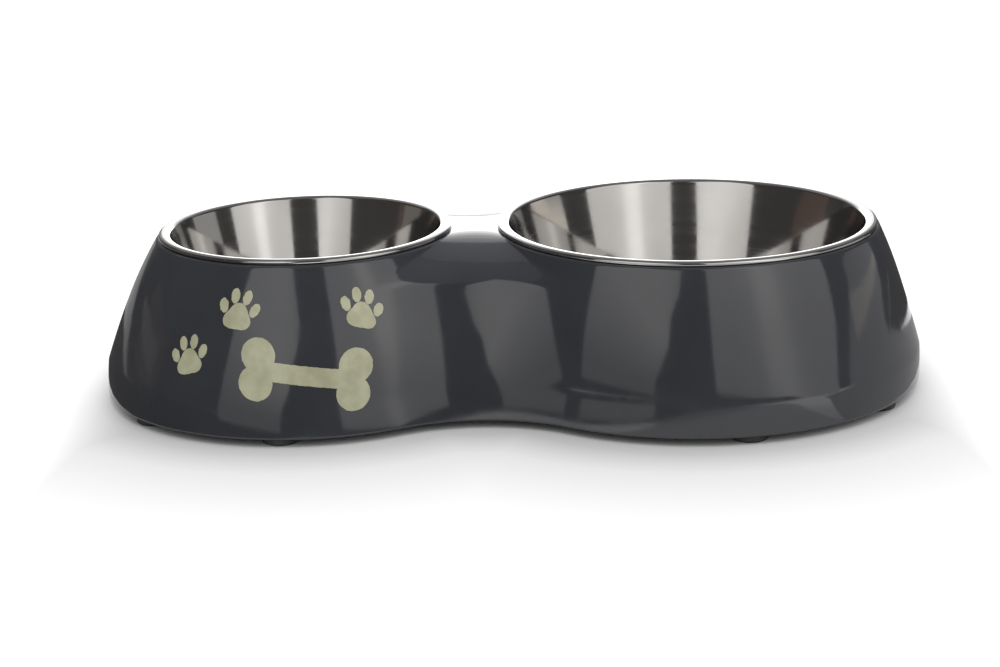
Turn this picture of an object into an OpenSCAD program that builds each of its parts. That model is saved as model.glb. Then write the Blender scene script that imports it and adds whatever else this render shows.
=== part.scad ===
// Double feeding station for a pet: a moulded stand with a small and a large
// lobe, two drop-in steel bowls and rubber feet. +X runs from the small lobe to
// the large one, -Y is the front, and Z = 0 is the floor.

/* [Bowls] */
// Diameter of the small bowl over its rolled rim
small_rim_d = 122.5; // [100:0.5:150]
// Diameter of the large bowl over its rolled rim
large_rim_d = 158; // [130:0.5:192]
// Inside depth of the small bowl
small_depth = 42; // [30:1:52]
// Inside depth of the large bowl
large_depth = 50; // [36:1:60]
// Width of the crowned steel ring round each mouth
rim_ring = 5; // [4.2:0.1:7]
// Slope of that ring at its inner and outer edge, in degrees
crown_angle = 18; // [8:1:24]
// Diameter of the rolled edge of a bowl
bead_d = 1.8; // [1.6:0.1:2.2]
// Thickness of the sheet steel
sheet = 0.7; // [0.5:0.05:0.8]
// Angle of the bowl walls from the vertical, in degrees
bowl_taper = 15.5; // [4:0.5:20]
// Radius between the wall and the floor of the small bowl
small_corner_r = 12; // [6:0.5:18]
// Radius between the wall and the floor of the large bowl
large_corner_r = 15; // [8:0.5:22]

/* [Stand] */
// Gap between the two steel rims
rim_gap = 19.25; // [15:0.25:30]
// How far the small lobe's foot line lies outside its top edge
small_flare = 24.5; // [16:0.5:32]
// How far the large lobe's foot line lies outside its top edge
large_flare = 16.3; // [10:0.1:24]
// How far the large lobe's top leans towards the small lobe
large_lean = 2; // [0:0.5:4]
// Height of the moulded shell without its feet
shell_height = 63.7; // [50:0.1:80]
// Slope of the flank at its foot, as a share of its mean slope
foot_slope_share = 0.4; // [0:0.05:0.8]
// Power of the curve that adds the rest of the flank's slope
flank_power = 2.1; // [1.4:0.1:3]
// How far the two ends bow out past that curve
end_bow = 1.55; // [0:0.05:2.5]
// Height of the upright band at each end, above which the bow fades out
band_height = 13; // [8:0.5:16]
// Height over which the bow fades out
bow_fade = 28; // [16:1:32]
// Width across the waist at the foot line
waist_base_w = 136; // [100:1:165]
// Width across the waist at the top, before its edge is rounded
waist_top_w = 92; // [70:1:112]
// Wall thickness of the shell
wall = 3; // [2.4:0.1:4]
// How far the shell's top edge stands outside a rim
lip = 0.7; // [0.4:0.1:2]
// Rounding of the top edge round the bowls
lip_edge_r = 1; // [0.6:0.1:1.6]
// Width of the level strip along the top of the waist
waist_flat_w = 14; // [10:1:40]
// How far the top rounds down from that strip to the sides of the waist
waist_drop = 12; // [6:0.5:20]
// Rounding of the bottom edge
base_edge_r = 1; // [0.6:0.1:3]

/* [Wells] */
// Gap between a bowl's wall and the well it hangs in
well_clearance = 0.8; // [0.4:0.1:1.4]
// Depth of the collar that guides each bowl
collar_depth = 8; // [5:0.5:14]
// Thickness of that collar
collar_wall = 4; // [3:0.1:5]

/* [Feet] */
// Diameter of a rubber foot
foot_d = 15; // [12:0.5:19]
// Height of a foot below the shell
foot_height = 2.8; // [2:0.1:6]
// Rounding of a foot's lower edge
foot_edge_r = 1; // [0.5:0.1:1.5]
// Distance from a foot to the shell's foot line
foot_set_in = 1.2; // [0.5:0.1:3]
// Diameter of the stem that plugs into the shell
stem_d = 6; // [4:0.5:8]
// Length of that stem
stem_length = 9; // [6:0.5:12]
// How much the boss squeezes the stem, on the radius
stem_squeeze = 0.1; // [0:0.05:0.2]
// Thickness of the boss wall round a stem
boss_wall = 2.5; // [2:0.1:3.5]

/* [Hidden] */

// How far a cutting solid runs past the face it cuts
overrun = 1;
// Steps round a lobe, an even number, and along a waist arc, for the outer skin
// and for the hollow
outer_steps = [40, 12];
inner_steps = [26, 8];
// Directions of the feet about their lobe, in degrees from the large end
small_front_angle = -94;
small_outer_angle = -140;
large_front_angle = -80;
large_outer_angle = -36;

// Outline of the two lobes in plan
small_rim_r = small_rim_d / 2;
large_rim_r = large_rim_d / 2;
small_top_r = small_rim_r + lip;
large_top_r = large_rim_r + lip;
small_base_r = small_top_r + small_flare;
large_base_r = large_top_r + large_flare;
bowl_spacing = small_rim_r + rim_gap + large_rim_r;
base_spacing = bowl_spacing + large_lean;
stand_length = small_base_r + base_spacing + large_base_r;
small_x = small_base_r - stand_length / 2;
large_base_x = small_x + base_spacing;
large_x = small_x + bowl_spacing;

// Section of a rim: the mouth's bend, a crown over the ring, and the rolled edge
mouth_r = 2 * sheet;
bead_r = bead_d / 2;
ring_span = rim_ring - bead_r - mouth_r * cos(bowl_taper);
crown_half = (ring_span + (bead_r + mouth_r) * sin(crown_angle)) / 2;
crown_r = crown_half / sin(crown_angle);
crown_rise = crown_r * (1 - cos(crown_angle));
rim_height = crown_rise + bead_r * (1 + cos(crown_angle));

// Heights over the floor
shell_top = foot_height + shell_height;
rim_plane = shell_top + rim_height;

// The wells and the inside of the shell
small_well_r = small_rim_r - rim_ring + sheet + well_clearance;
large_well_r = large_rim_r - rim_ring + sheet + well_clearance;
flank_lean = atan(small_flare / shell_height);
wall_run = wall / cos(flank_lean);
boss_r = stem_d / 2 + boss_wall;
boss_depth = stem_length + boss_wall;

// Points along an arc about c from angle a to angle b, without the last one
function arc(c, r, a, b, steps) =
    [for (i = [0 : steps - 1]) let (t = a + (b - a) * i / steps) c + r * [cos(t), sin(t)]];

// The same arc with its last point
function full_arc(c, r, a, b, steps) =
    [for (i = [0 : steps]) let (t = a + (b - a) * i / steps) c + r * [cos(t), sin(t)]];

// Radius of the waist arc that touches two circles, d apart and of radii ra
// and rb, and that comes within w of the line through their centres
function waist_r(d, ra, rb, w) =
    let (
        sa = ra * ra - w * w,
        sb = rb * rb - w * w,
        ga = 2 * (ra - w),
        gb = 2 * (rb - w),
        k = d * d + sb - sa,
        m = gb - ga,
        qa = m * m,
        qb = 2 * k * m - 4 * d * d * gb,
        qc = k * k - 4 * d * d * sb
    )
    2 * qc / (sqrt(qb * qb - 4 * qa * qc) - qb);

// Outline of the stand at one level: two lobes, joined by concave waist arcs.
// lobe_steps and waist_steps say how finely the four arcs are divided.
function outline(xa, ra, xb, rb, w, lobe_steps, waist_steps) =
    let (
        rw = waist_r(xb - xa, ra, rb, w),
        y = w + rw,
        x = xa + sqrt((ra + rw) * (ra + rw) - y * y),
        to_a = atan2(y, x - xa),
        to_b = atan2(y, x - xb)
    )
    concat(
        arc([xb, 0], rb, -to_b, to_b, lobe_steps),
        arc([x, y], rw, to_b - 180, to_a - 180, waist_steps),
        arc([xa, 0], ra, to_a, 360 - to_a, lobe_steps),
        arc([x, -y], rw, 180 - to_a, 180 - to_b, waist_steps)
    );

// How far an edge of radius r rounds a flank in, h above where the rounding ends
function round_in(r, h) = h <= 0 ? 0 : r - sqrt(max(0, r * r - h * h));

// How far the top across the waist is rounded in, h above where its rounding
// starts: a quarter of an ellipse
waist_run = (waist_top_w - waist_flat_w) / 2;
function waist_in(h) = h <= 0 ? 0 : waist_run * (1 - sqrt(max(0, 1 - pow(h / waist_drop, 2))));

// Share of the flare that the flank has taken in at height h
function flank(h) =
    let (u = max(0, h) / shell_height)
    foot_slope_share * u + (1 - foot_slope_share) * pow(u, flank_power);

// How far the centre of a lobe moves out at height h, to bow its end
function bow(h) =
    end_bow * (h < band_height ? max(0, h) / band_height
        : pow(max(0, 1 - (h - band_height) / bow_fade), 2));

// Outline of the outside of the shell at height h over its bottom edge
function outer_level(h) =
    let (
        low = round_in(base_edge_r, base_edge_r - h),
        high = round_in(lip_edge_r, h - shell_height + lip_edge_r),
        f = flank(h)
    )
    outline(
        small_x - bow(h),
        small_base_r - small_flare * f - low - high,
        large_base_x - large_lean * f + bow(h),
        large_base_r - large_flare * f - low - high,
        (waist_base_w - (waist_base_w - waist_top_w) * f) / 2 - low
            - waist_in(h - shell_height + waist_drop),
        outer_steps.x, outer_steps.y
    );

// Outline of the hollow at height h, a wall inside the outer one
function inner_level(h) =
    let (f = flank(h))
    outline(
        small_x - bow(h),
        small_base_r - small_flare * f - wall_run,
        large_base_x - large_lean * f + bow(h),
        large_base_r - large_flare * f - wall_run,
        (waist_base_w - (waist_base_w - waist_top_w) * f) / 2 - wall_run
            - waist_in(h + wall - shell_height + waist_drop),
        inner_steps.x, inner_steps.y
    );

// Heights at which the outer skin has a ring of points
outer_heights = concat(
    [for (a = [0 : 30 : 60]) base_edge_r * (1 - cos(a))],
    [for (i = [0 : 1]) base_edge_r + (band_height - base_edge_r) * i / 2],
    [for (i = [0 : 5]) band_height + (shell_height - waist_drop - band_height) * i / 6],
    [for (a = [0 : 12 : 60]) shell_height - waist_drop * (1 - sin(a))],
    [for (a = [0 : 30 : 90]) shell_height - lip_edge_r * (1 - sin(a))]
);

// The same for the hollow, which starts below the bottom edge and ends a wall
// below the top
inner_top = shell_height - wall;
inner_heights = concat(
    [-overrun, 0],
    [for (i = [0 : 3]) band_height + (inner_top - waist_drop - band_height) * i / 4],
    [for (a = [0 : 15 : 90]) inner_top - waist_drop * (1 - sin(a))]
);

// Faces that fill an outline of n points whose far end on +X is point tip. The
// front and back halves mirror each other, so each face spans a pair of points
// on the front and the pair facing them on the back.
function fill(n, tip) =
    concat(
        [[tip, tip + 1, tip - 1]],
        [for (k = [1 : n / 2 - 2]) [
            (tip - k + n) % n, (tip + k) % n, (tip + k + 1) % n, (tip - k - 1 + n) % n
        ]],
        [[(tip + n / 2 + 1) % n, (tip + n / 2 - 1) % n, (tip + n / 2) % n]]
    );

// A closed skin through rings of equally many points, from the bottom up
module skin(rings, heights, tip) {
    n = len(rings[0]);
    last = len(rings) - 1;
    points = [for (k = [0 : last]) for (p = rings[k]) [p.x, p.y, heights[k]]];
    bottom = fill(n, tip);
    top = [for (f = bottom) [for (i = [len(f) - 1 : -1 : 0]) f[i] + last * n]];
    left = [for (k = [0 : last - 1]) for (i = [0 : n - 1])
        [k * n + i, (k + 1) * n + i, (k + 1) * n + (i + 1) % n]];
    right = [for (k = [0 : last - 1]) for (i = [0 : n - 1])
        [k * n + i, (k + 1) * n + (i + 1) % n, k * n + (i + 1) % n]];
    polyhedron(points = points, faces = concat(bottom, top, left, right), convexity = 8);
}

// Puts its children at the place of one foot under a lobe
module at_foot(x, base_r, angle) {
    reach = base_r - foot_set_in - foot_d / 2;
    translate([x + reach * cos(angle), reach * sin(angle), 0])
        rotate([0, 0, angle])
            children();
}

// Puts a copy of its children at every foot
module at_all_feet() {
    for (side = [-1, 1]) {
        at_foot(small_x, small_base_r, side * small_front_angle) children();
        at_foot(small_x, small_base_r, side * small_outer_angle) children();
        at_foot(large_base_x, large_base_r, side * large_front_angle) children();
        at_foot(large_base_x, large_base_r, side * large_outer_angle) children();
    }
}

// The boss under the top plate that the well is bored through, which leaves a
// collar that guides the bowl
module collar(x, well_r) {
    translate([x, 0, shell_height - collar_depth])
        cylinder(h = collar_depth, r = well_r + collar_wall, $fn = 96);
}

// A post for a foot's stem, with a web that ties it to the wall. It starts
// below the shell, so that the shell's own bottom edge trims it.
module boss() {
    drop = 2 * overrun;
    translate([0, 0, -drop]) {
        cylinder(h = boss_depth + drop, r = boss_r, $fn = 32);
        translate([0, -boss_r / 2, 0])
            cube([foot_d / 2 + foot_set_in, boss_r, boss_depth + drop]);
    }
}

// The hollow that the moulding leaves inside the shell
module hollow() {
    difference() {
        skin([for (h = inner_heights) inner_level(h)], inner_heights, inner_steps.x / 2);
        collar(small_x, small_well_r);
        collar(large_x, large_well_r);
        at_all_feet() boss();
    }
}

// The bore of a well, through the top plate and its collar
module well(x, well_r) {
    translate([x, 0, shell_height - collar_depth - overrun])
        cylinder(h = collar_depth + 2 * overrun, r = well_r, $fn = 96);
}

// The moulded stand: one hollow shell, open underneath
module stand() {
    color("#3a3f45")
        translate([0, 0, foot_height])
            difference() {
                skin([for (h = outer_heights) outer_level(h)], outer_heights, outer_steps.x / 2);
                hollow();
                well(small_x, small_well_r);
                well(large_x, large_well_r);
                at_all_feet()
                    translate([0, 0, -overrun])
                        cylinder(h = stem_length + overrun, r = stem_d / 2 - stem_squeeze, $fn = 32);
            }
}

// One drawn steel bowl, hung by its rolled rim. The section runs along the
// inside from the centre to the rim, round the rolled edge, and back outside.
module bowl(x, rim_r, depth, corner_r) {
    bead = [rim_r - bead_r, -crown_rise - bead_r * cos(crown_angle)];
    mouth = [
        rim_r - rim_ring + mouth_r * cos(bowl_taper),
        -crown_rise - mouth_r * cos(crown_angle)
    ];
    crown = [bead.x + bead_r * sin(crown_angle) - crown_half, -crown_r];
    inner_edge = 90 + crown_angle;
    outer_edge = 90 - crown_angle;
    wall_drop = depth + mouth.y + mouth_r * sin(bowl_taper) - corner_r * (1 - sin(bowl_taper));
    corner = [
        rim_r - rim_ring - wall_drop * tan(bowl_taper) - corner_r * cos(bowl_taper),
        corner_r - depth
    ];
    section = concat(
        [[0, -depth]],
        full_arc(corner, corner_r, -90, -bowl_taper, 8),
        arc(mouth, mouth_r, 180 - bowl_taper, inner_edge, 4),
        arc(crown, crown_r, inner_edge, outer_edge, 6),
        full_arc(bead, bead_r, outer_edge, -90, 9),
        [bead + [-bead_r, -bead_r], bead + [-bead_r, sheet - bead_r]],
        arc(bead, bead_r - sheet, -90, outer_edge, 6),
        arc(crown, crown_r - sheet, outer_edge, inner_edge, 6),
        full_arc(mouth, mouth_r - sheet, inner_edge, 180 - bowl_taper, 4),
        full_arc(corner, corner_r + sheet, -bowl_taper, -90, 8),
        [[0, -depth - sheet]]
    );
    translate([x, 0, rim_plane])
        rotate_extrude($fn = 120)
            polygon(section);
}

module small_bowl() {
    color("#c9ccce") bowl(small_x, small_rim_r, small_depth, small_corner_r);
}

module large_bowl() {
    color("#c9ccce") bowl(large_x, large_rim_r, large_depth, large_corner_r);
}

// A rubber foot: a low disc with a rounded lower edge, and its stem
module foot(x, base_r, angle) {
    head_r = foot_d / 2;
    section = concat(
        [[0, 0]],
        full_arc([head_r - foot_edge_r, foot_edge_r], foot_edge_r, -90, 0, 5),
        [
            [head_r, foot_height],
            [stem_d / 2, foot_height],
            [stem_d / 2, foot_height + stem_length - foot_edge_r],
            [stem_d / 2 - foot_edge_r, foot_height + stem_length],
            [0, foot_height + stem_length]
        ]
    );
    color("#26282b")
        at_foot(x, base_r, angle)
            rotate_extrude($fn = 48)
                polygon(section);
}

stand();
small_bowl();
large_bowl();
foot(small_x, small_base_r, small_front_angle);  // foot_small_front
foot(small_x, small_base_r, small_outer_angle);  // foot_small_outer_front
foot(small_x, small_base_r, -small_outer_angle);  // foot_small_outer_back
foot(small_x, small_base_r, -small_front_angle);  // foot_small_back
foot(large_base_x, large_base_r, large_front_angle);  // foot_large_front
foot(large_base_x, large_base_r, large_outer_angle);  // foot_large_outer_front
foot(large_base_x, large_base_r, -large_outer_angle);  // foot_large_outer_back
foot(large_base_x, large_base_r, -large_front_angle);  // foot_large_back
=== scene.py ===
# A double feeding station for a pet, seen on a white studio floor: a glossy
# moulded stand with a small and a large lobe, two drop-in steel bowls, and
# rubber feet. +X runs from the small lobe to the large one and -Y is the front.
import math

import bmesh
import bpy
from mathutils import Matrix, Vector, noise


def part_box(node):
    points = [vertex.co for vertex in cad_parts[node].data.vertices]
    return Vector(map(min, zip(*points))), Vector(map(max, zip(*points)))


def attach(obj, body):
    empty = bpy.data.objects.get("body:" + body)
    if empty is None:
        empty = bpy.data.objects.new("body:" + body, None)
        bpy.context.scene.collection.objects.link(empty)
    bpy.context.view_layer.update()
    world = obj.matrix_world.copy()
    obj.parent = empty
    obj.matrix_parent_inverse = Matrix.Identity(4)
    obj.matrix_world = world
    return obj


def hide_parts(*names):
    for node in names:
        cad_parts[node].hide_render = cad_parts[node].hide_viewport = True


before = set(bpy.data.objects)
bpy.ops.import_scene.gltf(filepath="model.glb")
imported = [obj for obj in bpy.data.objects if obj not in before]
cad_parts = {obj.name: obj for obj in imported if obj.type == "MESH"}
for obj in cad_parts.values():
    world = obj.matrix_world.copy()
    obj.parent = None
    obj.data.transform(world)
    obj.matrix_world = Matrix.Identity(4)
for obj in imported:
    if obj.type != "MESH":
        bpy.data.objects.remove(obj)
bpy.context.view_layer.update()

MM = 0.001
ORIGIN = (0, 0, 0)

# Sizes of the steel bowls
SHEET = 0.7 * MM
RIM_RING = 5 * MM
CROWN_ANGLE = math.radians(18)
BEAD_D = 1.8 * MM
BOWL_TAPER = math.radians(15.5)
SMALL_CORNER_R = 12 * MM
LARGE_CORNER_R = 15 * MM

# Sizes of the moulded stand
SMALL_FLARE = 24.5 * MM
LARGE_FLARE = 16.3 * MM
LARGE_LEAN = 2 * MM
FOOT_SLOPE = 0.4
FLANK_POWER = 2.1
END_BOW = 1.55 * MM
BAND_HEIGHT = 13 * MM
BOW_FADE = 28 * MM
WAIST_BASE_W = 136 * MM
WAIST_TOP_W = 92 * MM
WALL = 3 * MM
LIP = 0.7 * MM
LIP_EDGE_R = 1 * MM
WAIST_FLAT_W = 14 * MM
WAIST_DROP = 12 * MM
BASE_EDGE_R = 1 * MM
WELL_CLEARANCE = 0.8 * MM
COLLAR_DEPTH = 8 * MM
COLLAR_WALL = 4 * MM

# Sizes of the rubber feet, and their places round each lobe in degrees
FOOT_D = 15 * MM
FOOT_EDGE_R = 1 * MM
FOOT_SET_IN = 1.2 * MM
STEM_D = 6 * MM
STEM_LENGTH = 9 * MM
SOCKET_GAP = 0.02 * MM
BOSS_WALL = 2.5 * MM
SMALL_FOOT_ANGLES = (-94, -140, 140, 94)
LARGE_FOOT_ANGLES = (-80, -36, 36, 80)

# How far a cutting shape reaches past what it cuts, and a boss past the foot line
CUT_PAST = 1 * MM
BOSS_PAST = 2 * MM

# Sizes of the stamped print on the small lobe
INK_PROUD = 0.05 * MM
INK_UNDER = 0.02 * MM
INK_STEP = 0.7 * MM
INK_WOBBLE = 0.22 * MM
INK_GRAIN = 900
INK_GRAIN_SHIFT = (7, 3, 5)
BONE_REACH = 19 * MM
BONE_KNOB_R = 6.6 * MM
BONE_SPREAD = 5.2 * MM
BONE_BAR = 3.6 * MM
PAW_R = 5.6 * MM
PAD_BULGE = 0.13
PAD_HEIGHT = 0.84
TOE_WIDTH = 0.33
TOE_LENGTH = 0.48

# Each toe's place in pad radii and its tilt in degrees
TOES = ((-1.18, 0.62, 24), (-0.46, 1.34, 8), (0.46, 1.34, -8), (1.18, 0.62, -24))

# Each print's heading round the lobe in degrees, its height and its tilt in degrees
BONE_PLACE = (4, 27 * MM, 8)
PAW_PLACES = ((-31, 30 * MM, -14), (-17, 48 * MM, 6), (22, 47 * MM, 16))

# How finely the curved surfaces are divided
LOBE_STEPS = 120
WAIST_STEPS = 36
BASE_EDGE_STEPS = 8
BAND_STEPS = 6
FLANK_STEPS = 16
WAIST_ROUND_STEPS = 24
LIP_EDGE_STEPS = 6
HOLLOW_STEPS = 8
HOLLOW_ROUND_STEPS = 12
COLLAR_STEPS = 128
BOSS_STEPS = 32
BOWL_STEPS = 256
BOWL_CORNER_STEPS = 24
CROWN_STEPS = 12
MOUTH_STEPS = 12
MOUTH_UNDER_STEPS = 8
BEAD_STEPS = 20
BEAD_UNDER_STEPS = 10
FOOT_STEPS = 48
FOOT_EDGE_STEPS = 8
KNOB_STEPS = 28
PAD_STEPS = 60
TOE_STEPS = 40
MERGE_DISTANCE = 0.001 * MM
CREASE_ANGLE = math.radians(34)

# Places and radii that the frame gives
stand_low, stand_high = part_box("stand")
small_low, small_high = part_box("small_bowl")
large_low, large_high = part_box("large_bowl")
small_rim_r = (small_high.y - small_low.y) / 2
large_rim_r = (large_high.y - large_low.y) / 2
small_x = (small_low.x + small_high.x) / 2
large_x = (large_low.x + large_high.x) / 2
foot_height = stand_low.z
shell_height = stand_high.z - stand_low.z

# Outline of the stand at the foot line, the wells, and the wall measured level
small_base_r = small_rim_r + LIP + SMALL_FLARE
large_base_r = large_rim_r + LIP + LARGE_FLARE
large_base_x = large_x + LARGE_LEAN
small_well_r = small_rim_r - RIM_RING + SHEET + WELL_CLEARANCE
large_well_r = large_rim_r - RIM_RING + SHEET + WELL_CLEARANCE
wall_run = WALL / math.cos(math.atan(SMALL_FLARE / shell_height))


def link(piece):
    """Puts a new object in the scene."""
    bpy.context.scene.collection.objects.link(piece)
    return piece


def mesh_piece(name, points, faces):
    """An object with the given points and faces, its faces turned outwards."""
    mesh = bpy.data.meshes.new(name)
    mesh.from_pydata(points, [], faces)
    face_outwards(mesh)
    return link(bpy.data.objects.new(name, mesh))


def face_outwards(mesh):
    """Turns the faces of a closed mesh outwards."""
    work = bmesh.new()
    work.from_mesh(mesh)
    bmesh.ops.recalc_face_normals(work, faces=work.faces)
    work.to_mesh(mesh)
    work.free()


def settle(piece):
    """Applies the piece's modifiers."""
    depsgraph = bpy.context.evaluated_depsgraph_get()
    piece.data = bpy.data.meshes.new_from_object(piece.evaluated_get(depsgraph))
    piece.modifiers.clear()


def discard(piece):
    """Removes an object that was only a tool."""
    bpy.data.objects.remove(piece)


def carve(piece, tools, operation):
    """Cuts the tools out of a piece, or joins or keeps what they share with it."""
    for tool in tools:
        cut = piece.modifiers.new("cut", "BOOLEAN")
        cut.object = tool
        cut.operation = operation
        cut.solver = "MANIFOLD"
    settle(piece)
    for tool in tools:
        discard(tool)


def add_node(tree, kind, inputs=None, **settings):
    """Adds a node, with its settings, and links or sets its inputs by name or number."""
    node = tree.nodes.new(kind)
    for name, value in settings.items():
        setattr(node, name, value)
    for key, value in (inputs or {}).items():
        socket = node.inputs[key]
        if isinstance(value, bpy.types.NodeSocket):
            tree.links.new(value, socket)
        else:
            socket.default_value = value
    return node


def math_node(tree, operation, first, second=0.0):
    """The result of one sum on two numbers or sockets."""
    return add_node(tree, "ShaderNodeMath", {0: first, 1: second}, operation=operation).outputs[0]


# Geometry trees
def geometry_tree(name, inputs):
    """An empty tree with a mesh and named inputs going in, and a mesh coming out."""
    tree = bpy.data.node_groups.new(name, "GeometryNodeTree")
    tree.interface.new_socket(name="Geometry", in_out="INPUT", socket_type="NodeSocketGeometry")
    for label, kind in inputs:
        tree.interface.new_socket(name=label, in_out="INPUT", socket_type=kind)
    tree.interface.new_socket(name="Geometry", in_out="OUTPUT", socket_type="NodeSocketGeometry")
    return tree, tree.nodes.new("NodeGroupInput").outputs, tree.nodes.new("NodeGroupOutput").inputs


def end_tree(tree, geometry, finish, result):
    """Makes instances real and gives them their finish, as the last two nodes of a tree."""
    real = add_node(tree, "GeometryNodeRealizeInstances", {"Geometry": geometry})
    finished = add_node(
        tree, "GeometryNodeSetMaterial", {"Geometry": real.outputs["Geometry"], "Material": finish}
    )
    tree.links.new(finished.outputs["Geometry"], result["Geometry"])


def make_spin_tree():
    """Spins a section, a row of points in the XZ plane, round an upright axis."""
    tree, given, result = geometry_tree(
        "spin a section",
        [("Steps", "NodeSocketInt"), ("Axis", "NodeSocketVector"), ("Finish", "NodeSocketMaterial")],
    )
    section, steps = given["Geometry"], given["Steps"]
    size = add_node(tree, "GeometryNodeAttributeDomainSize", {"Geometry": section})
    count = size.outputs["Point Count"]
    grid = add_node(
        tree,
        "GeometryNodeMeshGrid",
        {"Vertices X": math_node(tree, "ADD", steps, 1.0), "Vertices Y": count},
    )
    index = add_node(tree, "GeometryNodeInputIndex").outputs[0]
    middle = math_node(tree, "ADD", index, 0.5)
    turn = math_node(tree, "FLOOR", math_node(tree, "DIVIDE", middle, count))
    along = math_node(tree, "SUBTRACT", index, math_node(tree, "MULTIPLY", turn, count))
    drawn = add_node(
        tree,
        "GeometryNodeSampleIndex",
        {
            "Geometry": section,
            "Value": add_node(tree, "GeometryNodeInputPosition").outputs[0],
            "Index": along,
        },
        data_type="FLOAT_VECTOR",
    )
    angle = math_node(tree, "DIVIDE", math_node(tree, "MULTIPLY", turn, 2 * math.pi), steps)
    spun = add_node(
        tree,
        "ShaderNodeVectorRotate",
        {"Vector": drawn.outputs["Value"], "Angle": angle},
        rotation_type="Z_AXIS",
    )
    place = add_node(
        tree, "ShaderNodeVectorMath", {0: spun.outputs[0], 1: given["Axis"]}, operation="ADD"
    )
    placed = add_node(
        tree,
        "GeometryNodeSetPosition",
        {"Geometry": grid.outputs["Mesh"], "Position": place.outputs[0]},
    )
    closed = add_node(
        tree,
        "GeometryNodeMergeByDistance",
        {"Geometry": placed.outputs[0], "Distance": MERGE_DISTANCE},
    )
    end_tree(tree, closed.outputs[0], given["Finish"], result)
    return tree


def make_repeat_tree():
    """Sets a copy of one shape at every point, turned by the point's own angle about Z."""
    tree, given, result = geometry_tree(
        "one at each point", [("Shape", "NodeSocketObject"), ("Finish", "NodeSocketMaterial")]
    )
    shape = add_node(tree, "GeometryNodeObjectInfo", {"Object": given["Shape"]})
    angle = add_node(tree, "GeometryNodeInputNamedAttribute", {"Name": "angle"}, data_type="FLOAT")
    turn = add_node(tree, "ShaderNodeCombineXYZ", {"Z": angle.outputs[0]})
    copies = add_node(
        tree,
        "GeometryNodeInstanceOnPoints",
        {
            "Points": given["Geometry"],
            "Instance": shape.outputs["Geometry"],
            "Rotation": turn.outputs[0],
        },
    )
    end_tree(tree, copies.outputs[0], given["Finish"], result)
    return tree


def grow(name, start, tree, values):
    """Runs a geometry tree on a mesh, and keeps what it makes as a plain mesh."""
    piece = link(bpy.data.objects.new(name, start))
    modifier = piece.modifiers.new("grow", "NODES")
    modifier.node_group = tree
    for item in tree.interface.items_tree:
        if item.in_out == "INPUT" and item.name in values:
            modifier[item.identifier] = values[item.name]
    settle(piece)
    return piece


def spin(name, section, axis, steps, finish):
    """A turned piece from a section of (radius, height) points."""
    row = bpy.data.meshes.new(name + "_section")
    row.from_pydata([(r, 0, z) for r, z in section], [], [])
    piece = grow(name, row, SPIN_TREE, {"Steps": steps, "Axis": axis, "Finish": finish})
    face_outwards(piece.data)
    return piece


def repeat(name, places, shape, finish):
    """Copies of a shape at (x, y, z, angle) places. The shape itself is used up."""
    points = bpy.data.meshes.new(name + "_places")
    points.from_pydata([place[:3] for place in places], [], [])
    angles = points.attributes.new("angle", "FLOAT", "POINT")
    angles.data.foreach_set("value", [place[3] for place in places])
    piece = grow(name, points, REPEAT_TREE, {"Shape": shape, "Finish": finish})
    discard(shape)
    return piece


SPIN_TREE = make_spin_tree()
REPEAT_TREE = make_repeat_tree()


# Finishes, and the middle values of a soft random pattern
PATTERN_LOW = 0.35
PATTERN_HIGH = 0.65


def material_with_shader(name):
    """A new material, its tree and its shader."""
    material = bpy.data.materials.new(name)
    material.use_nodes = True
    tree = material.node_tree
    return material, tree, tree.nodes["Principled BSDF"]


def object_point(tree, centre=ORIGIN):
    """The point on the piece, measured from a centre."""
    point = add_node(tree, "ShaderNodeTexCoord").outputs["Object"]
    moved = add_node(tree, "ShaderNodeVectorMath", {0: point, 1: centre}, operation="SUBTRACT")
    return moved.outputs[0]


def axis_of(tree, vector, axis):
    """One coordinate of a vector."""
    return add_node(tree, "ShaderNodeSeparateXYZ", {"Vector": vector}).outputs[axis]


def mottle(tree, point, scale, detail=2.0):
    """A soft random pattern from 0 to 1."""
    return add_node(
        tree, "ShaderNodeTexNoise", {"Vector": point, "Scale": scale, "Detail": detail}
    ).outputs["Fac"]


def span(tree, value, low, high, start=PATTERN_LOW, end=PATTERN_HIGH):
    """Runs from low to high as a value goes from start to end."""
    return add_node(
        tree,
        "ShaderNodeMapRange",
        {"Value": value, "From Min": start, "From Max": end, "To Min": low, "To Max": high},
    ).outputs[0]


def fade(tree, value, high, start, end):
    """Rises softly from 0 to a value between two places."""
    return add_node(
        tree,
        "ShaderNodeMapRange",
        {"Value": value, "From Min": start, "From Max": end, "To Max": high},
        interpolation_type="SMOOTHSTEP",
    ).outputs[0]


def seen_directly(tree):
    """1 where a surface is seen by the camera, in gloss or through glass, and else 0."""
    path = add_node(tree, "ShaderNodeLightPath").outputs
    seen = math_node(tree, "MAXIMUM", path["Is Camera Ray"], path["Is Glossy Ray"])
    return math_node(tree, "MAXIMUM", seen, path["Is Transmission Ray"])


def blend_colours(tree, factor, first, second):
    """A colour between two others."""
    mixed = add_node(tree, "ShaderNodeMix", {"Factor": factor}, data_type="RGBA")
    mixed.inputs[6].default_value = (*first, 1)
    mixed.inputs[7].default_value = (*second, 1)
    return mixed.outputs[2]


def bump(tree, height, distance, under=None):
    """A normal that rises and falls with a pattern."""
    inputs = {"Height": height, "Distance": distance, "Strength": 1.0}
    if under is not None:
        inputs["Normal"] = under
    return add_node(tree, "ShaderNodeBump", inputs).outputs[0]


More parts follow.
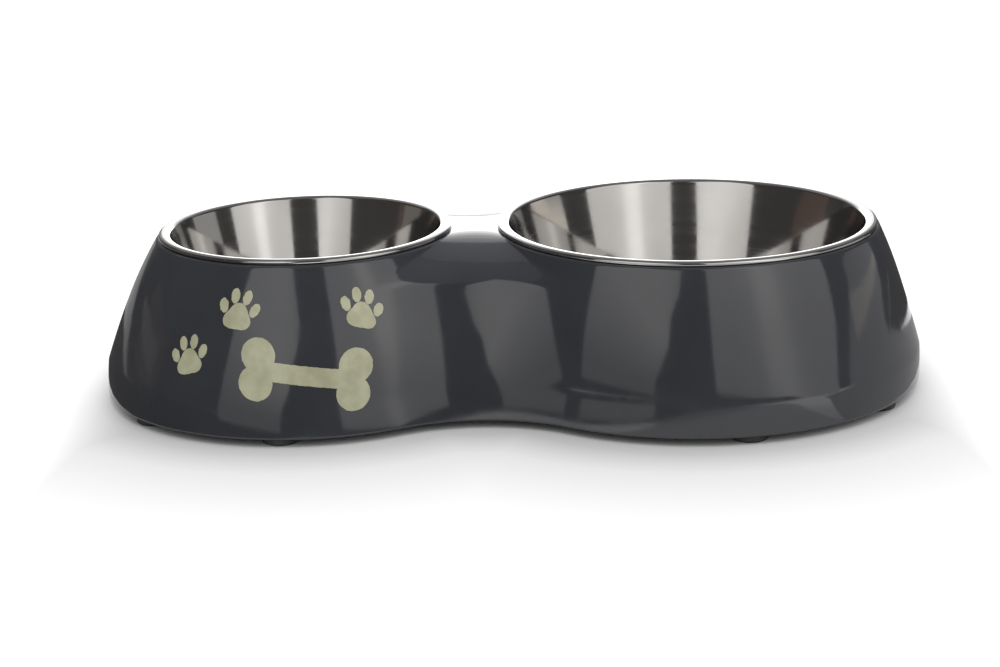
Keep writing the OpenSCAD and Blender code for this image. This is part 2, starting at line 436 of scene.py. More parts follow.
def slate_melamine():
    """Glossy slate-grey melamine: a smooth skin with the faintest flow and orange peel."""
    material, tree, shader = material_with_shader("slate melamine")
    point = object_point(tree)
    cloud = span(tree, mottle(tree, point, scale=35.0, detail=4.0), low=0.0, high=1.0)
    colour = blend_colours(tree, cloud, (0.031, 0.033, 0.038), (0.036, 0.038, 0.044))
    tree.links.new(colour, shader.inputs["Base Color"])
    gloss = span(tree, mottle(tree, point, scale=240.0), low=0.075, high=0.105)
    tree.links.new(gloss, shader.inputs["Roughness"])
    flow = bump(tree, mottle(tree, point, scale=22.0, detail=1.0), distance=0.02 * MM)
    peel = mottle(tree, point, scale=700.0, detail=1.0)
    peel = bump(tree, peel, distance=0.002 * MM, under=flow)
    tree.links.new(peel, shader.inputs["Normal"])
    shader.inputs["IOR"].default_value = 1.7
    return material


def spun_steel(name, x):
    """Polished stainless steel with fine rings left by spinning about the bowl's axis."""
    material, tree, shader = material_with_shader(name)
    point = object_point(tree, centre=(x, 0, 0))
    split = add_node(tree, "ShaderNodeSeparateXYZ", {"Vector": point}).outputs
    across = math_node(tree, "MULTIPLY", split["X"], split["X"])
    deep = math_node(tree, "MULTIPLY", split["Y"], split["Y"])
    radius = math_node(tree, "SQRT", math_node(tree, "ADD", across, deep))
    ring = add_node(tree, "ShaderNodeCombineXYZ", {"X": radius, "Z": split["Z"]}).outputs[0]
    lines = mottle(tree, ring, scale=2600.0, detail=3.0)
    smears = mottle(tree, ring, scale=260.0)
    patches = span(tree, mottle(tree, point, scale=30.0, detail=3.0), low=0.0, high=1.0)
    colour = blend_colours(tree, patches, (0.53, 0.52, 0.505), (0.58, 0.57, 0.56))
    tree.links.new(colour, shader.inputs["Base Color"])
    fine = span(tree, lines, low=0.05, high=0.09)
    rough = math_node(tree, "ADD", fine, span(tree, smears, low=0.0, high=0.035))
    tree.links.new(rough, shader.inputs["Roughness"])
    tree.links.new(bump(tree, lines, distance=0.0006 * MM), shader.inputs["Normal"])
    shader.inputs["Metallic"].default_value = 1.0
    shader.inputs["Anisotropic"].default_value = 0.4
    return material


def foot_rubber():
    """Matt black rubber with a fine grain."""
    material, tree, shader = material_with_shader("foot rubber")
    point = object_point(tree)
    dust = span(tree, mottle(tree, point, scale=180.0, detail=4.0), low=0.0, high=1.0)
    colour = blend_colours(tree, dust, (0.018, 0.018, 0.019), (0.034, 0.033, 0.033))
    tree.links.new(colour, shader.inputs["Base Color"])
    rough = span(tree, mottle(tree, point, scale=500.0), low=0.5, high=0.7)
    tree.links.new(rough, shader.inputs["Roughness"])
    grain = bump(tree, mottle(tree, point, scale=1500.0), distance=0.03 * MM)
    tree.links.new(grain, shader.inputs["Normal"])
    return material


def khaki_ink():
    """Pale khaki stamping ink under the gloss, a little uneven."""
    material, tree, shader = material_with_shader("khaki ink")
    point = object_point(tree)
    wear = span(tree, mottle(tree, point, scale=160.0, detail=5.0), low=0.0, high=1.0)
    colour = blend_colours(tree, wear, (0.36, 0.355, 0.235), (0.44, 0.435, 0.30))
    tree.links.new(colour, shader.inputs["Base Color"])
    rough = span(tree, mottle(tree, point, scale=240.0), low=0.12, high=0.2)
    tree.links.new(rough, shader.inputs["Roughness"])
    return material


SLATE = slate_melamine()
SMALL_STEEL = spun_steel("small bowl steel", small_x)
LARGE_STEEL = spun_steel("large bowl steel", large_x)
RUBBER = foot_rubber()
INK = khaki_ink()


# Curves
def arc(centre, r, start, end, steps):
    """Points along an arc, in radians, without the last one."""
    angles = [start + (end - start) * i / steps for i in range(steps)]
    return [(centre[0] + r * math.cos(a), centre[1] + r * math.sin(a)) for a in angles]


def full_arc(centre, r, start, end, steps):
    """The same arc with its last point."""
    last = (centre[0] + r * math.cos(end), centre[1] + r * math.sin(end))
    return arc(centre, r, start, end, steps) + [last]


def unit_circle(steps):
    """Points round a circle of radius 1."""
    return arc((0, 0), 1, 0, 2 * math.pi, steps)


def waist_radius(d, ra, rb, w):
    """Radius of the arc that touches two circles, d apart, w off the line between them."""
    sa = ra * ra - w * w
    sb = rb * rb - w * w
    ga = 2 * (ra - w)
    gb = 2 * (rb - w)
    k = d * d + sb - sa
    m = gb - ga
    qb = 2 * k * m - 4 * d * d * gb
    qc = k * k - 4 * d * d * sb
    return 2 * qc / (math.sqrt(qb * qb - 4 * m * m * qc) - qb)


def outline(xa, ra, xb, rb, w):
    """The stand's outline at one level: two lobes joined by concave waist arcs."""
    rw = waist_radius(xb - xa, ra, rb, w)
    y = w + rw
    x = xa + math.sqrt((ra + rw) ** 2 - y * y)
    to_a = math.atan2(y, x - xa)
    to_b = math.atan2(y, x - xb)
    half, whole = math.pi, 2 * math.pi
    return (
        arc((xb, 0), rb, -to_b, to_b, LOBE_STEPS)
        + arc((x, y), rw, to_b - half, to_a - half, WAIST_STEPS)
        + arc((xa, 0), ra, to_a, whole - to_a, LOBE_STEPS)
        + arc((x, -y), rw, half - to_a, half - to_b, WAIST_STEPS)
    )


def round_in(r, h):
    """How far an edge of radius r rounds a flank in, h above where the rounding ends."""
    return r - math.sqrt(max(0.0, r * r - h * h)) if h > 0 else 0.0


def waist_in(h):
    """How far the top across the waist is rounded in, h above where its rounding starts."""
    run = (WAIST_TOP_W - WAIST_FLAT_W) / 2
    return run * (1 - math.sqrt(max(0.0, 1 - (h / WAIST_DROP) ** 2))) if h > 0 else 0.0


def flank(h):
    """Share of the flare that the flank has taken in at height h."""
    u = max(0.0, h) / shell_height
    return FOOT_SLOPE * u + (1 - FOOT_SLOPE) * u**FLANK_POWER


def bow(h):
    """How far the centre of a lobe moves out at height h, to bow its end."""
    if h < BAND_HEIGHT:
        return END_BOW * max(0.0, h) / BAND_HEIGHT
    return END_BOW * max(0.0, 1 - (h - BAND_HEIGHT) / BOW_FADE) ** 2


def outer_level(h, proud=0.0):
    """Outline of the outside of the shell, h over its bottom edge, or a little proud of it."""
    low = round_in(BASE_EDGE_R, BASE_EDGE_R - h) - proud
    high = round_in(LIP_EDGE_R, h - shell_height + LIP_EDGE_R)
    high_waist = waist_in(h - shell_height + WAIST_DROP)
    f = flank(h)
    return outline(
        small_x - bow(h),
        small_base_r - SMALL_FLARE * f - low - high,
        large_base_x - LARGE_LEAN * f + bow(h),
        large_base_r - LARGE_FLARE * f - low - high,
        (WAIST_BASE_W - (WAIST_BASE_W - WAIST_TOP_W) * f) / 2 - low - high_waist,
    )


def inner_level(h):
    """Outline of the hollow at height h, a wall inside the outer one."""
    high = waist_in(h + WALL - shell_height + WAIST_DROP)
    f = flank(h)
    return outline(
        small_x - bow(h),
        small_base_r - SMALL_FLARE * f - wall_run,
        large_base_x - LARGE_LEAN * f + bow(h),
        large_base_r - LARGE_FLARE * f - wall_run,
        (WAIST_BASE_W - (WAIST_BASE_W - WAIST_TOP_W) * f) / 2 - high - wall_run,
    )


def edge_heights(r, steps):
    """Heights, from 0 to r, at which a rounded edge has a ring of points."""
    return [r * (1 - math.cos(math.pi / 2 * i / steps)) for i in range(steps)]


def even_heights(start, end, steps):
    """Evenly spaced heights from start to end, with both."""
    return [start + (end - start) * i / steps for i in range(steps + 1)]


def outer_heights():
    """Heights at which the outer skin has a ring of points."""
    low = edge_heights(BASE_EDGE_R, BASE_EDGE_STEPS)
    band = even_heights(BASE_EDGE_R, BAND_HEIGHT, BAND_STEPS)[:-1]
    upper = even_heights(BAND_HEIGHT, shell_height - WAIST_DROP, FLANK_STEPS)
    high = [shell_height - h for h in edge_heights(WAIST_DROP, WAIST_ROUND_STEPS)]
    lip = [shell_height - h for h in edge_heights(LIP_EDGE_R, LIP_EDGE_STEPS)]
    return sorted(set(low + band + upper + high + lip))


def skin(name, rings, heights):
    """A closed skin through rings of equally many points, from the bottom up."""
    n = len(rings[0])
    last = (len(rings) - 1) * n
    points = [(x, y, foot_height + h) for ring, h in zip(rings, heights) for x, y in ring]
    faces = [list(range(n - 1, -1, -1)), [last + i for i in range(n)]]
    for k in range(len(rings) - 1):
        low, high = k * n, (k + 1) * n
        faces += [(low + i, low + (i + 1) % n, high + (i + 1) % n, high + i) for i in range(n)]
    return mesh_piece(name, points, faces)


def foot_places():
    """The (x, y, z, angle) of every foot, at floor level."""
    places = []
    lobes = (
        (small_x, small_base_r, SMALL_FOOT_ANGLES),
        (large_base_x, large_base_r, LARGE_FOOT_ANGLES),
    )
    for x, base_r, angles in lobes:
        reach = base_r - FOOT_SET_IN - FOOT_D / 2
        for angle in map(math.radians, angles):
            places.append((x + reach * math.cos(angle), reach * math.sin(angle), 0, angle))
    return places


# The moulded stand
def cylinder(name, r, low, high, axis, steps):
    """An upright cylinder round an axis, between two heights."""
    return spin(name, [(0, low), (r, low), (r, high), (0, high)], axis, steps, SLATE)


def well_cylinders(name, wider, low, high):
    """A cylinder round the axis of each well, wider than the well's radius by so much."""
    return [
        cylinder(name, r + wider, low, high, (x, 0, foot_height), COLLAR_STEPS)
        for x, r in ((small_x, small_well_r), (large_x, large_well_r))
    ]


def boss_shape():
    """A post for a foot's stem, with a web that ties it to the wall."""
    low = foot_height - BOSS_PAST
    high = foot_height + STEM_LENGTH + BOSS_WALL
    r = STEM_D / 2 + BOSS_WALL
    post = cylinder("boss", r, low, high, ORIGIN, BOSS_STEPS)
    reach, half = FOOT_D / 2 + FOOT_SET_IN, r / 2
    corners = [(x, y, z) for x in (0, reach) for y in (-half, half) for z in (low, high)]
    faces = [(0, 1, 3, 2), (4, 6, 7, 5), (0, 4, 5, 1), (2, 3, 7, 6), (0, 2, 6, 4), (1, 5, 7, 3)]
    web = mesh_piece("web", corners, faces)
    carve(post, [web], "UNION")
    return post


def make_stand():
    """One hollow shell, open underneath, with two wells, their collars and eight bosses."""
    heights = outer_heights()
    stand = skin("moulded_stand", [outer_level(h) for h in heights], heights)
    inner_top = shell_height - WALL
    bends = [inner_top - h for h in edge_heights(WAIST_DROP, HOLLOW_ROUND_STEPS)]
    rises = even_heights(BAND_HEIGHT, inner_top - WAIST_DROP, HOLLOW_STEPS)
    levels = sorted(set([-CUT_PAST, 0.0] + rises + bends))
    hollow = skin("hollow", [inner_level(h) for h in levels], levels)
    collar_low = shell_height - COLLAR_DEPTH
    collars = well_cylinders("collar", COLLAR_WALL, collar_low, shell_height)
    bosses = repeat("bosses", foot_places(), boss_shape(), SLATE)
    carve(hollow, collars + [bosses], "DIFFERENCE")
    bores = well_cylinders("bore", 0.0, collar_low - CUT_PAST, shell_height + CUT_PAST)
    low, high = foot_height - CUT_PAST, foot_height + STEM_LENGTH
    socket = cylinder("socket", STEM_D / 2 + SOCKET_GAP, low, high, ORIGIN, BOSS_STEPS)
    sockets = repeat("sockets", foot_places(), socket, SLATE)
    carve(stand, [hollow] + bores + [sockets], "DIFFERENCE")
    dress(stand, "stand", ["stand"], SLATE)


def dress(piece, body, nodes, finish):
    """Smooths a finished piece, gives it its finish, and ties it to the frame."""
    piece.data.materials.clear()
    piece.data.materials.append(finish)
    piece.data.shade_smooth()
    piece.data.set_sharp_from_angle(angle=CREASE_ANGLE)
    even = piece.modifiers.new("even shading", "WEIGHTED_NORMAL")
    even.keep_sharp = True
    settle(piece)
    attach(piece, body)
    if nodes:
        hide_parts(*nodes)


# The steel bowls
def bowl_section(rim_r, depth, corner_r):
    """Section of a bowl below its rim plane: inside, crowned ring, rolled edge, outside."""
    bead_r, mouth_r = BEAD_D / 2, 2 * SHEET
    quarter, half = math.pi / 2, math.pi
    lean, upright_share = math.sin(BOWL_TAPER), math.cos(BOWL_TAPER)
    slope, level_share = math.sin(CROWN_ANGLE), math.cos(CROWN_ANGLE)
    ring_span = RIM_RING - bead_r - mouth_r * upright_share
    crown_half = (ring_span + (bead_r + mouth_r) * slope) / 2
    crown_r = crown_half / slope
    drop = crown_r * (1 - level_share)
    bead = (rim_r - bead_r, -drop - bead_r * level_share)
    mouth = (rim_r - RIM_RING + mouth_r * upright_share, -drop - mouth_r * level_share)
    crown = (bead[0] + bead_r * slope - crown_half, -crown_r)
    inner_edge, outer_edge = quarter + CROWN_ANGLE, quarter - CROWN_ANGLE
    wall_drop = depth + mouth[1] + mouth_r * lean - corner_r * (1 - lean)
    wall_run_in = wall_drop * math.tan(BOWL_TAPER)
    corner = (rim_r - RIM_RING - wall_run_in - corner_r * upright_share, corner_r - depth)
    lip = (bead[0] - bead_r, bead[1] - bead_r)
    inside = [(0, -depth)] + full_arc(corner, corner_r, -quarter, -BOWL_TAPER, BOWL_CORNER_STEPS)
    inside += arc(mouth, mouth_r, half - BOWL_TAPER, inner_edge, MOUTH_STEPS)
    rolled = arc(crown, crown_r, inner_edge, outer_edge, CROWN_STEPS)
    rolled += full_arc(bead, bead_r, outer_edge, -quarter, BEAD_STEPS)
    rolled += [lip, (lip[0], lip[1] + SHEET)]
    outside = arc(bead, bead_r - SHEET, -quarter, outer_edge, BEAD_UNDER_STEPS)
    outside += arc(crown, crown_r - SHEET, outer_edge, inner_edge, CROWN_STEPS)
    outside += full_arc(mouth, mouth_r - SHEET, inner_edge, half - BOWL_TAPER, MOUTH_UNDER_STEPS)
    outside += full_arc(corner, corner_r + SHEET, -BOWL_TAPER, -quarter, BOWL_CORNER_STEPS)
    return inside + rolled + outside + [(0, -depth - SHEET)]


def make_bowl(node, low, high, corner_r, finish):
    """One drop-in steel bowl, in the place that the frame gives it."""
    rim_r = (high.y - low.y) / 2
    depth = high.z - low.z - SHEET
    axis = ((low.x + high.x) / 2, 0, high.z)
    section = bowl_section(rim_r, depth, corner_r)
    bowl = spin("steel_" + node, section, axis, BOWL_STEPS, finish)
    dress(bowl, node, [node], finish)


# The rubber feet
def make_feet():
    """Eight low rubber discs with rounded edges, each on a stem."""
    head_r, stem_r = FOOT_D / 2, STEM_D / 2
    top = foot_height + STEM_LENGTH
    edge = (head_r - FOOT_EDGE_R, FOOT_EDGE_R)
    section = [(0, 0)] + full_arc(edge, FOOT_EDGE_R, -math.pi / 2, 0, FOOT_EDGE_STEPS)
    section += [(head_r, foot_height), (stem_r, foot_height), (stem_r, top - FOOT_EDGE_R)]
    section += [(stem_r - FOOT_EDGE_R, top), (0, top)]
    foot = spin("foot", section, ORIGIN, FOOT_STEPS, RUBBER)
    feet = repeat("rubber_feet", foot_places(), foot, RUBBER)
    nodes = [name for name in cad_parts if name.startswith("foot_")]
    dress(feet, "stand", nodes, RUBBER)


# The stamped print on the small lobe
def roughen(points, step, amount, grain):
    """Divides an outline finely and wobbles it, as a worn rubber stamp would."""
    rough = []
    for i, start in enumerate(points):
        a, b = Vector((*start, 0)), Vector((*points[(i + 1) % len(points)], 0))
        pieces = max(1, round((b - a).length / step))
        for k in range(pieces):
            p = a.lerp(b, k / pieces)
            q = p * grain
            shift = Vector((noise.noise(q), noise.noise(q + Vector(INK_GRAIN_SHIFT)), 0))
            rough.append(tuple((p + shift * amount)[:2]))
    return rough


def bone_outline(reach, knob_r, spread, bar):
    """A bone: four knobs, reach from the middle and spread off the line, on a bar."""
    into = math.asin((spread - bar) / knob_r)
    notch = math.asin(spread / knob_r)
    half, whole = math.pi, 2 * math.pi
    return (
        arc((reach, -spread), knob_r, half - into, whole + notch, KNOB_STEPS)
        + full_arc((reach, spread), knob_r, -notch, half + into, KNOB_STEPS)
        + arc((-reach, spread), knob_r, -into, half + notch, KNOB_STEPS)
        + full_arc((-reach, -spread), knob_r, half - notch, whole + into, KNOB_STEPS)
    )


def ellipse(centre, wide, tall, tilt):
    """The outline of one toe."""
    c, s = math.cos(tilt), math.sin(tilt)
    ring = [(wide * x, tall * y) for x, y in unit_circle(TOE_STEPS)]
    return [(centre[0] + c * x - s * y, centre[1] + s * x + c * y) for x, y in ring]


def paw_outlines(r):
    """A paw print: one three-sided pad of radius r and four toes."""
    ring = unit_circle(PAD_STEPS)
    bulges = [1 + PAD_BULGE * math.cos(3 * (math.atan2(y, x) - math.pi / 2)) for x, y in ring]
    pad = [(r * b * x, r * PAD_HEIGHT * b * y) for (x, y), b in zip(ring, bulges)]
    return [pad] + [
        ellipse((r * x, r * y), TOE_WIDTH * r, TOE_LENGTH * r, math.radians(tilt))
        for x, y, tilt in TOES
    ]


def stamp(name, shapes, heading, height, tilt):
    """Prisms that reach out of the small lobe's axis through its flank, one for each shape."""
    near, far = -0.5 * small_rim_r, -1.3 * small_base_r
    lean = Matrix.Rotation(math.radians(tilt), 4, "Y")
    turn = Matrix.Rotation(math.radians(heading), 4, "Z") @ lean
    place = Matrix.Translation((small_x, 0, height)) @ turn
    points, faces = [], []
    for shape in shapes:
        ring = roughen(shape, INK_STEP, INK_WOBBLE, INK_GRAIN)
        n, base = len(ring), len(points)
        points += [place @ Vector((x, near, z)) for x, z in ring]
        points += [place @ Vector((x, far, z)) for x, z in ring]
        faces += [[base + i for i in range(n)], [base + n + i for i in range(n - 1, -1, -1)]]
        faces += [
            (base + i, base + n + i, base + n + (i + 1) % n, base + (i + 1) % n) for i in range(n)
        ]
    return mesh_piece(name, points, faces)


def make_print():
    """A bone between paw prints, stamped in khaki round the small lobe's front."""
    heights = outer_heights()
    film = skin("stamped_print", [outer_level(h, INK_PROUD) for h in heights], heights)
    under = skin("under_ink", [outer_level(h, -INK_UNDER) for h in heights], heights)
    bone_shape = bone_outline(BONE_REACH, BONE_KNOB_R, BONE_SPREAD, BONE_BAR)
    bone = stamp("bone", [bone_shape], *BONE_PLACE)
    for place in PAW_PLACES:
        carve(bone, [stamp("paw", paw_outlines(PAW_R), *place)], "UNION")
    carve(film, [bone], "INTERSECT")
    carve(film, [under], "DIFFERENCE")
    dress(film, "stand", [], INK)


make_stand()
make_bowl("small_bowl", small_low, small_high, SMALL_CORNER_R, SMALL_STEEL)
make_bowl("large_bowl", large_low, large_high, LARGE_CORNER_R, LARGE_STEEL)
make_feet()
make_print()


# The studio, whose panels show only in what the object mirrors. First the softboxes' colour, and
# the heights between which they brighten from the foot up
SOFT_WHITE = (1.0, 0.985, 0.96)
SOFTBOX_FOOT = (0.05, 0.27)

# Grey of the floor, its half width, and where the waist is narrowest
FLOOR_GREY = 0.62
FLOOR_HALF = 8.0
WAIST_X = -12 * MM

# The room: a ring of walls, split at one height, and a ceiling
ROOM_R = 1.9
ROOM_STEPS = 36
WALL_SPLIT = 0.7
CEILING_HEIGHT = 2.6
GREY_WALLS = range(4, 14)

# The bright sheet behind the set: edges of its rows from the floor up, and each row's level
BACKDROP_R = 1.5
BACKDROP_REACH = math.radians(50)
BACKDROP_STEPS = 20
BACKDROP_EDGES = (0.0, 0.10, 0.44, 0.54, 0.64, 0.76, 0.92)
BACKDROP_LEVELS = (0.8, 3.4, 2.4, 1.4, 0.8, 0.45)
BACKDROP_CORE = 0.30
BACKDROP_SIDES = 0.3

# Each softbox: its plan line, the share of light left at its foot, (share along the line, level)
# steps, and the (share along the line, height) of its corners
SOFTBOXES = (
    (
        "softbox_right", (0.45, -0.11), (0.143, -0.63), 0.72,
        ((0.0, 0.95), (0.28, 1.05), (0.43, 1.5), (0.58, 1.0), (1.0, 0.9)),
        (
            (0.14, 0.0), (0.3, 0.01), (0.42, 0.03), (1, 0.045), (1, 1.0), (0, 1.0),
            (0.01, 0.17), (0.05, 0.1), (0.13, 0.04),
        ),
    ),
    (
        "softbox_left", (-0.30, -0.32), (-0.20, -1.13), 0.45,
        ((0.0, 1.02), (0.5, 1.08), (1.0, 0.98)),
        (
            (-0.07, 0.0), (0.56, 0.0), (0.6, 0.06), (0.92, 0.26), (1, 0.44), (1.38, 0.7),
            (1.75, 1.2), (-0.07, 1.2),
        ),
    ),
)

# The cards: how far those on the floor keep from the foot line, how high they lie, the steps of
# their round edges, and the colours of all
CARD_GAP = 7 * MM
CARD_LIFT = 0.5 * MM
CARD_STEPS = 8
CARD_COLOURS = {
    "grey": (0.40, 0.395, 0.39),
    "pale": (0.58, 0.58, 0.575),
    "cream": (0.75, 0.70, 0.63),
    "dim cream": (0.20, 0.19, 0.172),
    "brown": (0.115, 0.085, 0.072),
    "dark": (0.06, 0.055, 0.052),
}

# Each card that stands beside the set: its colour, radius, first and last angle in degrees, and
# the (share along the card, height) of its corners
STANDING_CARDS = (
    (
        "grey_card", "grey", 1.80, -14, 34,
        (
            (0, 0), (0.74, 0), (0.74, 0.05), (0.87, 0.1), (0.97, 0.17), (0.97, 0.48),
            (0.38, 0.48), (0.36, 0.39), (0.3, 0.33), (0.13, 0.2), (0.02, 0.1),
        ),
    ),
    (
        "cream_card_right", "cream", 1.78, -14, 34,
        ((0.24, 0.17), (0.97, 0.17), (0.97, 0.2), (0.54, 0.27), (0.3, 0.34)),
    ),
    (
        "brown_card", "brown", 1.80, 182, 154,
        ((0, 0.1), (1, 0.1), (1, 0.45), (0, 0.45)),
    ),
    (
        "cream_card_left", "dim cream", 1.78, 178, 147,
        ((0, 0.18), (1, 0.18), (1, 0.22), (0.6, 0.28), (0.2, 0.32), (0, 0.38)),
    ),
)


def round_foot(x, base_r, first, last):
    """Points on the floor round a lobe's foot line, between two angles in degrees."""
    first, last = math.radians(first), math.radians(last)
    return full_arc((x, 0), base_r + CARD_GAP, first, last, CARD_STEPS)


# Each card that lies on the floor: its colour and its corners. Where the dark, near and right cards
# reach to within CARD_GAP of the foot line, they are painted shade: the floor's shade as the object
# mirrors it.
FLOOR_CARDS = (
    (
        "dark_card", "dark",
        [(-1.8, -0.9), (-0.05, -0.9), (-0.085, -0.3), (-0.1, -0.12)]
        + round_foot(small_x, small_base_r, 216, 135)
        + [(-0.2, 0.15), (-0.45, 0.3), (-1.8, 0.5)],
    ),
    (
        "far_card", "dark",
        [(-1.3, -1.3), (-1.0, -0.9), (1.0, -0.9), (1.3, -1.3), (0, -1.85)],
    ),
    (
        "front_card", "grey",
        [(-0.05, -0.9), (-0.085, -0.33), (0.30, -0.33), (0.35, -0.9)],
    ),
    # Painted shade: a pale sheet round the large lobe's front, at the level of the shaded floor
    # there.
    (
        "near_card", "pale",
        round_foot(large_base_x, large_base_r, -128, -52) + [(0.3, -0.33), (-0.03, -0.33)],
    ),
    (
        "right_card", "grey",
        round_foot(large_base_x, large_base_r, -52, 45)
        + [(0.46, 0.2), (1.65, 0.75), (1.7, -0.3), (0.3, -0.18)],
    ),
    (
        "back_right_card", "dark",
        [(0.2, 0.12), (0.46, 0.2), (1.65, 0.75), (1.2, 1.4), (0.4, 1.2)],
    ),
    (
        "back_left_card", "grey",
        [(-0.2, 0.15), (-0.45, 0.3), (-1.8, 0.5), (-1.5, 1.1), (-0.5, 1.3), (-0.15, 0.5)],
    ),
)

# The lamp overhead
LAMP_SIZE = (1.6, 1.2)
LAMP_POWER = 6
LAMP_PLACE = (0, 0.1, 1.4)

# The view from the front, with its angles in degrees
LENS = 72
CAMERA_PLACE = (0.0033, -0.8188, 0.2563)
CAMERA_HEADING = 0.59
CAMERA_PITCH = 90 - 16.15
CAMERA_ROLL = -1.455


def glow(name, colour, strength=1.0):
    """A panel's finish, which gives plain light."""
    material = bpy.data.materials.new(name)
    material.use_nodes = True
    tree = material.node_tree
    tree.nodes.clear()
    light = add_node(tree, "ShaderNodeEmission", {"Color": (*colour, 1), "Strength": strength})
    out = add_node(tree, "ShaderNodeOutputMaterial")
    tree.links.new(light.outputs[0], out.inputs["Surface"])
    return material


def graded_glow(name, start, end, levels, foot):
    """A glow that changes along a plan line by (share, strength) levels, dimmer at its foot."""
    material = glow(name, SOFT_WHITE)
    tree = material.node_tree
    reach = Vector((end[0] - start[0], end[1] - start[1], 0))
    away = reach / reach.length_squared
    point = object_point(tree, centre=(*start, 0))
    along = add_node(tree, "ShaderNodeVectorMath", {0: point, 1: away}, operation="DOT_PRODUCT")
    ramp = add_node(tree, "ShaderNodeFloatCurve", {"Value": along.outputs["Value"]})
    curve = ramp.mapping.curves[0]
    highest = max(level for _, level in levels)
    for share, level in levels[1:-1]:
        curve.points.new(share, level / highest)
    for end_point in (0, -1):
        share, level = levels[end_point]
        curve.points[end_point].location = (share, level / highest)
    ramp.mapping.update()
    low, high = SOFTBOX_FOOT
    rising = span(tree, axis_of(tree, point, "Z"), foot * highest, highest, start=low, end=high)
    strength = math_node(tree, "MULTIPLY", ramp.outputs[0], rising)
    tree.links.new(strength, tree.nodes["Emission"].inputs["Strength"])
    return material


def flat(name, corners, material):
    """One flat face of the studio."""
    mesh = bpy.data.meshes.new(name)
    mesh.from_pydata(corners, [], [tuple(range(len(corners)))])
    mesh.materials.append(material)
    face = link(bpy.data.objects.new(name, mesh))
    return face


def panel(name, corners, material):
    """A flat panel that shows only in what the object mirrors."""
    face = flat(name, corners, material)
    face.visible_camera = False
    face.visible_shadow = False
    face.visible_diffuse = False


def standing(name, start, end, shape, material):
    """An upright panel on a plan line, from the (share along the line, height) of its corners."""
    reach_x, reach_y = end[0] - start[0], end[1] - start[1]
    panel(name, [(start[0] + reach_x * t, start[1] + reach_y * t, z) for t, z in shape], material)


def upright(name, start, end, low, high, material):
    """An upright panel over a whole plan line, between two heights."""
    standing(name, start, end, ((0, low), (1, low), (1, high), (0, high)), material)


def from_object(tree, point):
    """Distance of a point on the floor from the object's foot line."""
    nearest = 1.0
    circles = (
        (small_x, small_base_r),
        (large_base_x, large_base_r),
        (WAIST_X, WAIST_BASE_W / 2),
    )
    for x, r in circles:
        off = add_node(tree, "ShaderNodeVectorMath", {0: point, 1: (x, 0, 0)}, operation="DISTANCE")
        clear = math_node(tree, "SUBTRACT", off.outputs["Value"], r)
        nearest = math_node(tree, "MINIMUM", nearest, clear)
    return nearest


def make_floor():
    """A pale floor that keeps the object's shadow. Its glow is held low near the foot line as a
    painted shadow round the object, and is painted light beside both ends.
    """
    material, tree, shader = material_with_shader("studio floor")
    shader.inputs["Base Color"].default_value = (FLOOR_GREY, FLOOR_GREY, FLOOR_GREY, 1)
    shader.inputs["Roughness"].default_value = 0.8
    shader.inputs["Specular IOR Level"].default_value = 0.0
    point = object_point(tree)
    away = from_object(tree, point)
    # Painted shadow: the glow rises from nothing near the foot line to full away from it, so the
    # floor is painted darker round the object.
    near = span(tree, away, low=0.0, high=0.19, start=0.008, end=0.030)
    far = span(tree, away, low=0.0, high=0.27, start=0.030, end=0.120)
    off_centre = math_node(tree, "ABSOLUTE", axis_of(tree, point, "X"))
    # Painted light: the floor beside both ends glows brighter, over the shadow there.
    beside = fade(tree, off_centre, high=0.6, start=0.15, end=0.2)
    white = math_node(tree, "MAXIMUM", math_node(tree, "ADD", near, far), beside)
    seen = math_node(tree, "MULTIPLY", seen_directly(tree), white)
    shader.inputs["Emission Color"].default_value = (1, 1, 1, 1)
    tree.links.new(seen, shader.inputs["Emission Strength"])
    corners = [(x * FLOOR_HALF, y * FLOOR_HALF, 0) for x, y in ((-1, -1), (1, -1), (1, 1), (-1, 1))]
    flat("studio_floor", corners, material)


def make_world():
    """White all round, whose fill is a little dimmer from the left."""
    world = bpy.data.worlds.new("studio")
    bpy.context.scene.world = world
    world.use_nodes = True
    tree = world.node_tree
    towards = add_node(tree, "ShaderNodeTexCoord").outputs["Generated"]
    fill = span(tree, axis_of(tree, towards, "X"), low=0.6, high=1.25, start=-1.0, end=1.0)
    background = tree.nodes["Background"]
    background.inputs["Color"].default_value = (1, 1, 1, 1)
    strength = math_node(tree, "MAXIMUM", seen_directly(tree), fill)
    tree.links.new(strength, background.inputs["Strength"])


def make_room():
    """A dark room round the set, with a grey upper wall behind and a grey ceiling."""
    dark = glow("dark wall", (0.060, 0.057, 0.056))
    grey = glow("grey wall", (0.26, 0.26, 0.27))
    plan = full_arc((0, 0), ROOM_R, 0, 2 * math.pi, ROOM_STEPS)
    for i, (near, far) in enumerate(zip(plan, plan[1:])):
        upper = grey if i in GREY_WALLS else dark
        upright(f"wall_{i}", near, far, 0, WALL_SPLIT, dark)
        upright(f"upper_wall_{i}", near, far, WALL_SPLIT, CEILING_HEIGHT, upper)
    top = [(x, y, CEILING_HEIGHT) for x, y in plan[:-1]]
    panel("ceiling", top, glow("ceiling", (0.16, 0.16, 0.16)))


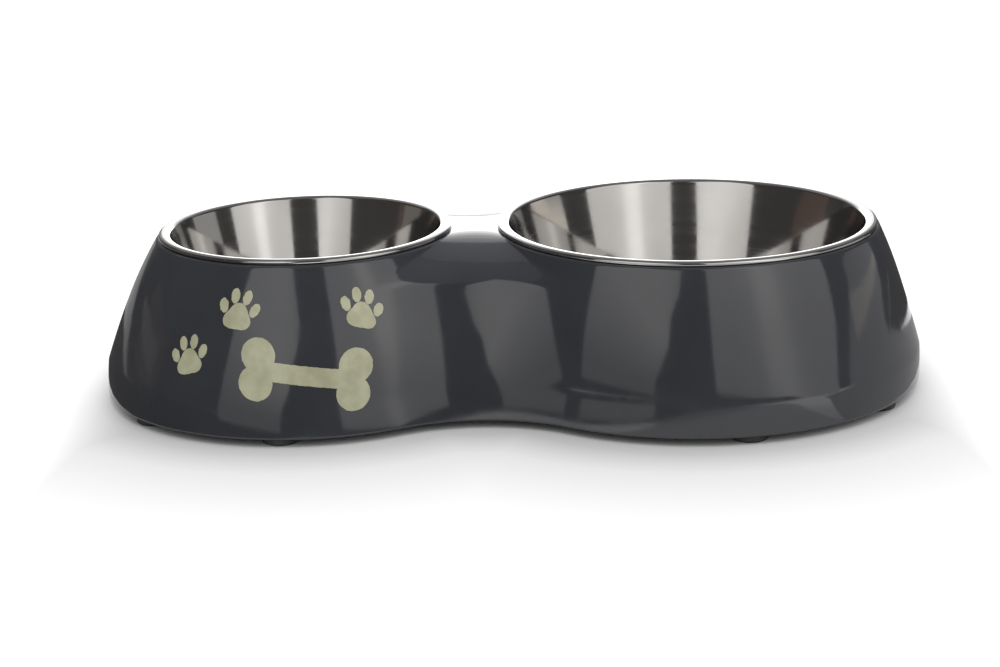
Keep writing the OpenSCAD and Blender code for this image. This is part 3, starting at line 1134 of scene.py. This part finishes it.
def make_backdrop():
    """A bright sheet behind the set, with dim sides, that fades out upwards."""
    first, last = math.pi / 2 - BACKDROP_REACH, math.pi / 2 + BACKDROP_REACH
    plan = full_arc((0, 0), BACKDROP_R, first, last, BACKDROP_STEPS)
    for low, high, level in zip(BACKDROP_EDGES, BACKDROP_EDGES[1:], BACKDROP_LEVELS):
        for i, (near, far) in enumerate(zip(plan, plan[1:])):
            off = abs((2 * i + 1) / BACKDROP_STEPS - 1) * BACKDROP_REACH
            sides = BACKDROP_SIDES * math.cos(0.9 * off) ** 6
            strength = sides + level * math.exp(-((off / BACKDROP_CORE) ** 4))
            material = glow("backdrop glow", (1.0, 1.0, 1.0), strength)
            upright(f"backdrop_{i}", near, far, low, high, material)


def make_cards():
    """Grey, cream and brown cards beside the set, and grey, pale and dark ones on the floor, whose
    parts next to the foot line are painted shade in what the object mirrors.
    """
    finishes = {name: glow(name + " card", colour) for name, colour in CARD_COLOURS.items()}
    for name, colour, r, first, last, shape in STANDING_CARDS:
        angles = (math.radians(first), math.radians(last))
        near, far = ((r * math.cos(angle), r * math.sin(angle)) for angle in angles)
        standing(name, near, far, shape, finishes[colour])
    for name, colour, plan in FLOOR_CARDS:
        panel(name, [(x, y, CARD_LIFT) for x, y in plan], finishes[colour])


def make_lights():
    """Two tall softboxes beside the camera, a bright sheet behind, and a lamp overhead."""
    make_room()
    make_backdrop()
    for name, start, end, foot, levels, shape in SOFTBOXES:
        finish = graded_glow(name.replace("_", " "), start, end, levels, foot)
        standing(name, start, end, shape, finish)
    make_cards()
    lamp = bpy.data.lights.new("overhead", "AREA")
    lamp.shape = "RECTANGLE"
    lamp.size, lamp.size_y = LAMP_SIZE
    lamp.energy = LAMP_POWER
    overhead = link(bpy.data.objects.new("overhead", lamp))
    overhead.location = LAMP_PLACE
    overhead.visible_glossy = False


def make_camera():
    """A long lens a little above the rims, turned slightly about its axis."""
    camera = bpy.data.cameras.new("camera")
    camera.sensor_width = 36
    camera.lens = LENS
    view = link(bpy.data.objects.new("camera", camera))
    turn = Matrix.Rotation(math.radians(CAMERA_HEADING), 4, "Z")
    turn = turn @ Matrix.Rotation(math.radians(CAMERA_PITCH), 4, "X")
    turn = turn @ Matrix.Rotation(math.radians(CAMERA_ROLL), 4, "Z")
    view.matrix_world = Matrix.Translation(CAMERA_PLACE) @ turn
    bpy.context.scene.camera = view


make_floor()
make_world()
make_lights()
make_camera()
bpy.context.scene.view_settings.view_transform = "Standard"
